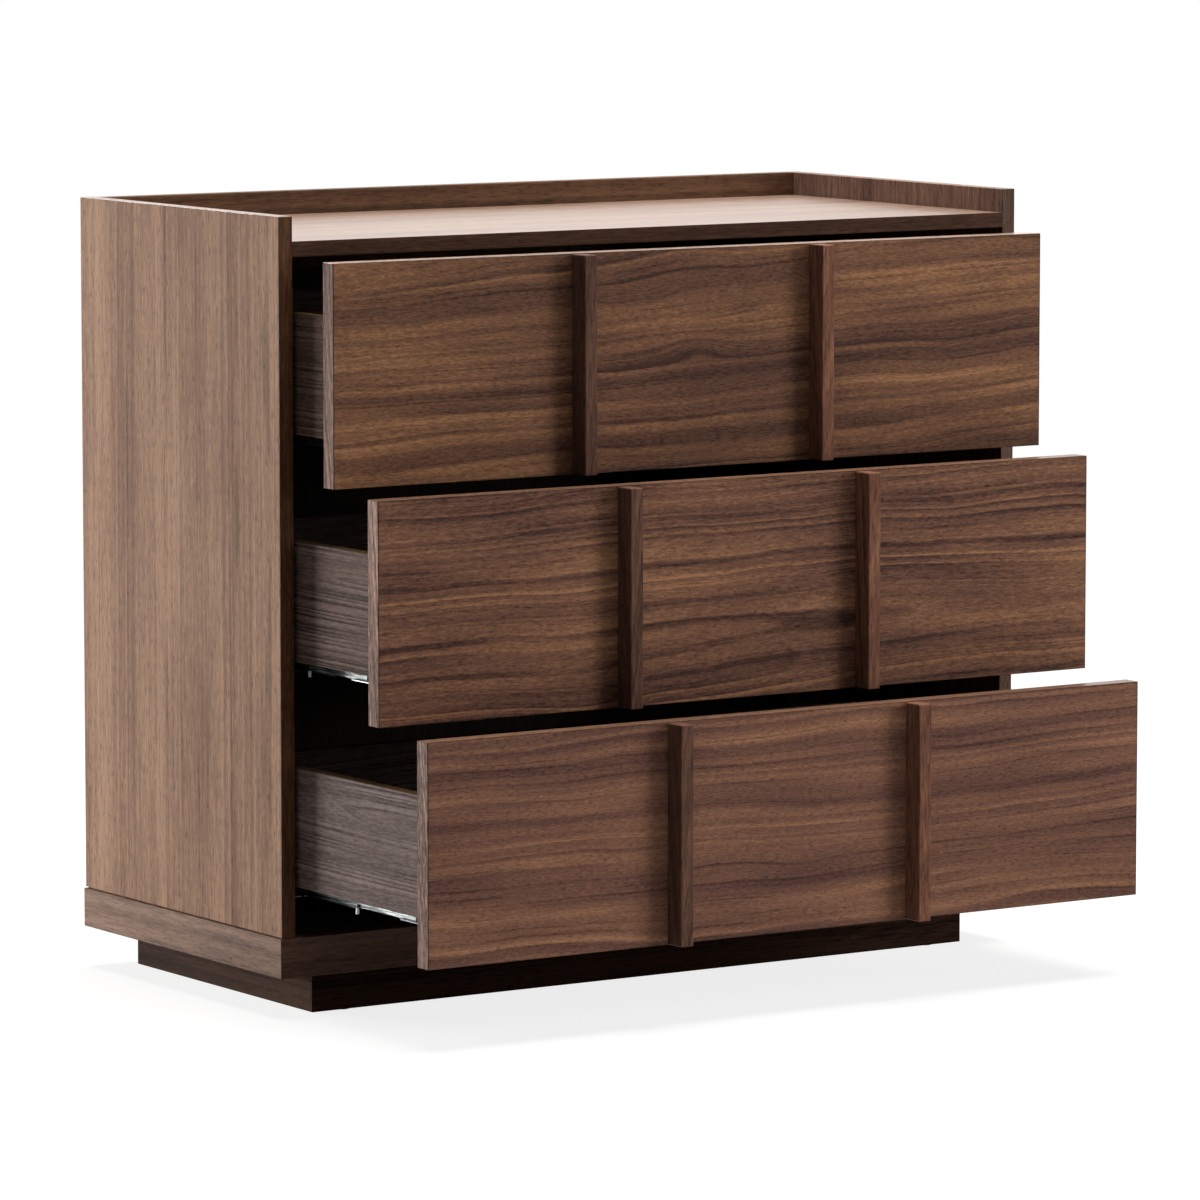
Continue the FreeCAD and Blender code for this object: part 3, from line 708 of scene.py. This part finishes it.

# Slides: three nested channels of rolled zinc-plated steel under each side of a drawer.
# One is screwed to the carcass, one to the drawer, and the middle one runs half as far between them.
# A black clip with a bright release lever holds the drawer to its rail. The drawer rails and levers are dark
# steel with streaks of bright, partly rolling marks and partly painted glint; the fixed and middle rails are
# painted near black as painted shade.

# Painted glint: dark steel with long thin bright streaks, partly rolling marks and partly painted reflection.
painted_glint_tones = ((0.012, 0.014, 0.015), (0.055, 0.062, 0.063), (0.260, 0.280, 0.275))
painted_glint_steel = plain("painted_glint_steel", painted_glint_tones, patch=(0.004, 0.04, 0.0017), roughness=(0.38, 0.52),
                     metallic=1.0)
# Painted shade: the fixed and middle rails are near-black steel.
painted_shade_steel_tones = ((0.035, 0.036, 0.036), (0.06, 0.062, 0.062))
painted_shade_steel = plain("painted_shade_steel", painted_shade_steel_tones, patch=(0.004, 0.05, 0.004), roughness=(0.40, 0.55), metallic=1.0)
black_tones = ((0.006, 0.006, 0.006), (0.015, 0.015, 0.015))
black_steel = plain("black_steel", black_tones, patch=(0.003, 0.003, 0.003), roughness=(0.5, 0.65))
drawers = ("top", "middle", "bottom")
for name in drawers:
    dress(painted_shade_steel, name + "_slide_fixed_rails", name + "_slide_middle_rails")
    dress(painted_glint_steel, name + "_slide_drawer_rails", name + "_clip_levers")
    dress(black_steel, name + "_slide_clips")

# Rail tabs: small white nylon caps pressed over the steel tabs that hang from the drawer rails.
# Each is moulded with rounded edges and only shows where a drawer is drawn out.

cap_wall = 0.0003
cap_height = 0.0060
cap_ease = 0.0004
cap_segments = 3
white_tones = ((0.82, 0.82, 0.80), (0.90, 0.90, 0.88))
white_nylon = plain("white_nylon", white_tones, patch=(0.003, 0.003, 0.003), roughness=(0.35, 0.5))
wall = Vector((cap_wall, cap_wall, cap_wall))
for name in drawers:
    rails = name + "_slide_drawer_rails"
    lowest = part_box(rails)[0].z
    feet = [v.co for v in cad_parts[rails].data.vertices if v.co.z < lowest + cap_wall]
    for hand in ("left", "right"):
        axis, outward = faces[hand]
        low, high = span([co for co in feet if co[axis] * outward > 0])
        high.z = lowest + cap_height - cap_wall
        piece = name + "_" + hand + "_rail_tab_cap"
        cap = eased_block(piece, low - wall, high + wall, cap_ease, cap_segments)
        put(cap, white_nylon, name + "_drawer")

# Drawer boxes: sides and back of board wrapped in a grey-brown wood-effect foil, with edging along the top.
# Dowels and cams hold the sides to the front, dowels hold the back, and the thin bottom lies in grooves.
# The sides' foil is painted darker on the top drawer and paler on the lower ones, as painted shade and light.

foil_print = {"sways": ((0.004, (0.5, 0.2, 0.2)), (0.0012, (0.10, 0.02, 0.02))), "drift": (0.0, 0.05),
              "ring": 0.0050, "late": 2.2, "broad": 0.015, "narrow": 0.003,
              "shares": (0.56, 0.08, 0.04, 0.20, 0.12), "line_width": 0.03, "line_shade": 0.1,
              "fibre": (0.012, 0.0018, 0.0018),
              "pores": (0.010, 0.0018, 0.0018), "pore_shade": 0.25, "streak_shade": 0.1,
              "flecks": (0.010, 0.0016, 0.0016), "fleck_shine": 0.14, "span": (0.24, 0.70)}
foil_tones = ((0.018, 0.012, 0.010), (0.076, 0.055, 0.048), (0.136, 0.103, 0.094))
# Painted shade and light: the sides' foil is darker for the top drawer and paler for the lower ones.
painted_light_side_foils = {"top": paler(foil_tones, 1.0, 0.88, 0.79), "middle": paler(foil_tones, 1.28, 1.20, 1.16),
              "bottom": paler(foil_tones, 1.52, 1.56, 1.58)}
eye_share = 0.76
edging_tones = ((0.027, 0.015, 0.006), (0.046, 0.026, 0.011), (0.067, 0.039, 0.018))
edging_heart = (0.1, 0.3)
box_edging = wood("box_edging", "Y", edging_heart, edging_tones, straight_cut, specular=0.02)
bottom_heart = (0.60, 0.25)
bottom_foil = wood("box_bottom_foil", "X", bottom_heart, foil_tones, foil_print)
for name in drawers:
    for hand in ("left", "right"):
        board = name + "_drawer_" + hand + "_side"
        low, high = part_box(board)
        outer = low.x if hand == "left" else high.x
        heart = (low.z + (high.z - low.z) * eye_share, outer - foil_print["drift"][1] * low.y)
        foil = wood(name + "_box_" + hand + "_foil", "Y", heart, painted_light_side_foils[name], foil_print, **dull)
        dress(foil, board)
        strip = edge_strip(name + "_box_" + hand + "_upper_strip", board, "upper")
        put(strip, box_edging, name + "_drawer")
    low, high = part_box(name + "_drawer_back")
    heart = (low.y, low.z + (high.z - low.z) * eye_share)
    dress(wood(name + "_box_back_foil", "X", heart, foil_tones, foil_print), name + "_drawer_back")
    dress(bottom_foil, name + "_drawer_bottom")
    fit_out(name + "_drawer_fasteners", name + "_drawer")

# Drawer fronts: boards veneered in crown-cut walnut whose figure runs on across the whole front.
# Thin strips band the ends and the upper edge, with the grain along each edge, and the box is fixed behind.
# The bottom front and the lower end strips are painted paler as painted light, the top end strips darker as
# painted shade, and the top drawer's upper strip is painted pale as a painted highlight.

front_tones = ((0.057, 0.027, 0.022), (0.142, 0.068, 0.048), (0.252, 0.123, 0.072), (0.420, 0.210, 0.110))
# Painted light: the bottom front's veneer is made paler than the others'.
painted_light_front_veneers = {"top": paler(front_tones, 1.02, 1.02, 0.92), "middle": front_tones,
                 "bottom": paler(front_tones, 1.09, 1.09, 1.14)}
heart_places = {"top": (0.10, 0.16), "middle": (0.014, -0.045), "bottom": (0.12, -0.20)}
figures = {"top": dict(crown_cut, ring=0.016),
           "middle": dict(crown_cut, drift=(0.035, 0.02), ring=0.014, line_shade=0.45, span=(0.28, 0.70)),
           "bottom": dict(crown_cut, ring=0.013, span=(0.18, 0.78))}
knot_share = 0.55
knots = {"top": {"sizes": (0.035, 0.05, 0.012), "lift": 0.010}}
end_cut = dict(straight_cut, sways=((0.012, (0.25, 0.1, 0.1)), (0.003, (0.06, 0.03, 0.03))),
               drift=(0.0, 0.12), ring=0.005, broad=0.008, narrow=0.004,
               shares=(0.34, 0.22, 0.10, 0.28, 0.06), fibre=(0.012, 0.0026, 0.0026))
end_tones = ((0.030, 0.016, 0.011), (0.190, 0.110, 0.079), (0.420, 0.258, 0.192))
# Painted light and shade: the end strips are darker on the top drawer and paler on the bottom one.
painted_light_end_shades = {"top": (0.89, 0.90, 0.90), "middle": (1.01, 1.00, 1.02), "bottom": (1.10, 1.20, 1.32)}
low_upper_tones = ((0.100, 0.052, 0.033), (0.165, 0.086, 0.053), (0.235, 0.125, 0.076))
# Painted highlight: the top drawer's upper strip takes the top's tones, made paler.
painted_highlight_upper_tones = {"top": paler(top_tones, 1.35), "middle": low_upper_tones, "bottom": low_upper_tones}
upper_shines = {"top": 1.0, "middle": 0.05, "bottom": 0.05}
front_arris_shade = 0.5
strip_heart_in = 0.015
strip_heart_behind = 0.004
for name in drawers:
    board = name + "_drawer_front"
    low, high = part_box(board)
    behind, above = heart_places[name]
    heart = (low.y + behind, (low.z + high.z) / 2 + above)
    knot = knots.get(name)
    if knot:
        knot["place"] = (0.0, low.y, low.z + (high.z - low.z) * knot_share)
    veneer = wood(name + "_front_walnut", "X", heart, painted_light_front_veneers[name], figures[name], knot=knot,
                  arris_shade=front_arris_shade)
    dress(veneer, board)
    heart_behind = low.y + strip_heart_behind
    tones = paler(end_tones, *painted_light_end_shades[name])
    for hand, end in (("left", low.x), ("right", high.x)):
        piece = name + "_front_" + hand + "_end_strip"
        banding = wood(piece, "Z", (end + strip_heart_in, heart_behind), tones, end_cut, specular=0.01,
                       arris_shade=front_arris_shade)
        put(edge_strip(piece, board, hand), banding, name + "_drawer")
    piece = name + "_front_upper_strip"
    banding = wood(piece, "X", (heart_behind, high.z - strip_heart_in), painted_highlight_upper_tones[name], straight_cut,
                   specular=upper_shines[name], roughness=(0.22, 0.32))
    put(edge_strip(piece, board, "upper"), banding, name + "_drawer")

# Pulls: upright strips of solid walnut as tall as the front, two on each, screwed on from behind.
# The right ones are painted paler and redder than the left ones as painted light, and the flanks are painted
# darker than the faces as painted shade.

pull_cut = dict(straight_cut, drift=(0.10, 0.06), ring=0.006, broad=0.010, narrow=0.003,
                shares=(0.22, 0.22, 0.16, 0.30, 0.10))
# Painted light: the right pulls take paler, redder tones than the left ones.
painted_light_pull_tones = {"left": ((0.061, 0.030, 0.022), (0.121, 0.059, 0.041), (0.187, 0.097, 0.064)),
              "right": ((0.100, 0.044, 0.029), (0.199, 0.088, 0.055), (0.307, 0.144, 0.087))}
pull_heart = (0.2, 0.1)
pull_painted_flank_shade = 0.36
for hand, tones in painted_light_pull_tones.items():
    pull_wood = wood(hand + "_pull_walnut", "Z", pull_heart, tones, pull_cut, painted_flank_shade=pull_painted_flank_shade)
    dress(pull_wood, *[name + "_drawer_" + hand + "_pull" for name in drawers])

# Studio: a pale floor that keeps the chest's shadow and fades into a white surround.
# Four soft lamps stand round the chest, and the one on the left stays below the top so that it makes no
# glare there. The camera stands at the photograph's angle.


def seen_directly(tree):
    """One for what the camera sees itself, in a reflection or through glass."""
    path = node(tree, "LightPath", {})
    seen = reckon(tree, "MAXIMUM", path.outputs["Is Camera Ray"], path.outputs["Is Glossy Ray"])
    return reckon(tree, "MAXIMUM", seen, path.outputs["Is Transmission Ray"])


floor_radius = 60.0
floor_sides = 96
shadow_grey = (0.25, 0.25, 0.25, 1.0)
floor_glow = 0.82
surround_glow = 1.0
bounce_grey = (0.45, 0.45, 0.45, 1.0)
floor_fade = (1.2, 4.0)
angles = [i * math.tau / floor_sides for i in range(floor_sides)]
ring = [(floor_radius * math.cos(angle), floor_radius * math.sin(angle), 0.0) for angle in angles]
floor_mesh = bpy.data.meshes.new("studio_floor")
floor_mesh.from_pydata(ring, [], [tuple(range(floor_sides))])
floor = bpy.data.objects.new("studio_floor", floor_mesh)
bpy.context.scene.collection.objects.link(floor)
floor_finish = bpy.data.materials.new("studio_floor")
floor_finish.use_nodes = True
floor_mesh.materials.append(floor_finish)
tree = floor_finish.node_tree
tree.nodes.clear()
shadowed = node(tree, "BsdfDiffuse", {"Color": shadow_grey})
glow = node(tree, "Emission", {"Strength": floor_glow})
near = node(tree, "AddShader", {0: shadowed.outputs[0], 1: glow.outputs[0]})
far = node(tree, "Emission", {"Strength": surround_glow})
distance = vectors(tree, "LENGTH", node(tree, "TexCoord", {}).outputs["Object"])
fade = stretch(tree, distance, *floor_fade)
seen = node(tree, "MixShader", {0: fade, 1: near.outputs[0], 2: far.outputs[0]})
bounce = node(tree, "BsdfDiffuse", {"Color": bounce_grey})
floor_mix = node(tree, "MixShader", {0: seen_directly(tree), 1: bounce.outputs[0], 2: seen.outputs[0]})
node(tree, "OutputMaterial", {"Surface": floor_mix.outputs[0]})

fill_strength = 0.015
fill_colour = (1.0, 0.99, 0.98, 1.0)
surround_colour = (1.0, 1.0, 1.0, 1.0)
world = bpy.data.worlds.new("studio")
bpy.context.scene.world = world
world.use_nodes = True
tree = world.node_tree
tree.nodes.clear()
fill = node(tree, "Background", {"Color": fill_colour, "Strength": fill_strength})
white = node(tree, "Background", {"Color": surround_colour, "Strength": surround_glow})
sky = node(tree, "MixShader", {0: seen_directly(tree), 1: fill.outputs[0], 2: white.outputs[0]})
node(tree, "OutputWorld", {"Surface": sky.outputs[0]})

lamp_aim = Vector((0.0, -0.1, 0.42))
lamp_colour = (1.0, 0.985, 0.97)
# Each lamp: its place, its breadth and height, and its power
lamps = {"left_lamp": ((-1.9, 3.4, 0.36), (1.8, 0.7), 300.0),
         "front_lamp": ((3.9, -3.9, 1.7), (2.2, 2.2), 134.0),
         "back_lamp": ((2.3, 3.6, 2.0), (2.8, 2.8), 11.0),
         "high_lamp": ((0.3, -0.2, 4.5), (3.0, 3.0), 275.0)}
for name, (place, (breadth, height), power) in lamps.items():
    lamp = bpy.data.lights.new(name, "AREA")
    lamp.shape = "RECTANGLE"
    lamp.size = breadth
    lamp.size_y = height
    lamp.energy = power
    lamp.color = lamp_colour
    stand = bpy.data.objects.new(name, lamp)
    stand.location = place
    stand.rotation_euler = (lamp_aim - stand.location).to_track_quat("-Z", "Y").to_euler()
    bpy.context.scene.collection.objects.link(stand)

camera_place = (-4.0169, -6.2234, 1.2289)
camera_turn = math.radians(33.226)
camera_tilt = math.radians(6.5756)
camera_data = bpy.data.cameras.new("camera")
camera_data.sensor_width = 36.0
camera_data.lens = 213.26
camera_data.clip_end = 200.0
camera = bpy.data.objects.new("camera", camera_data)
camera.location = camera_place
camera.rotation_euler = (math.pi / 2 - camera_tilt, 0.0, -camera_turn)
bpy.context.scene.collection.objects.link(camera)
bpy.context.scene.camera = camera
bpy.context.scene.view_settings.view_transform = "Standard"
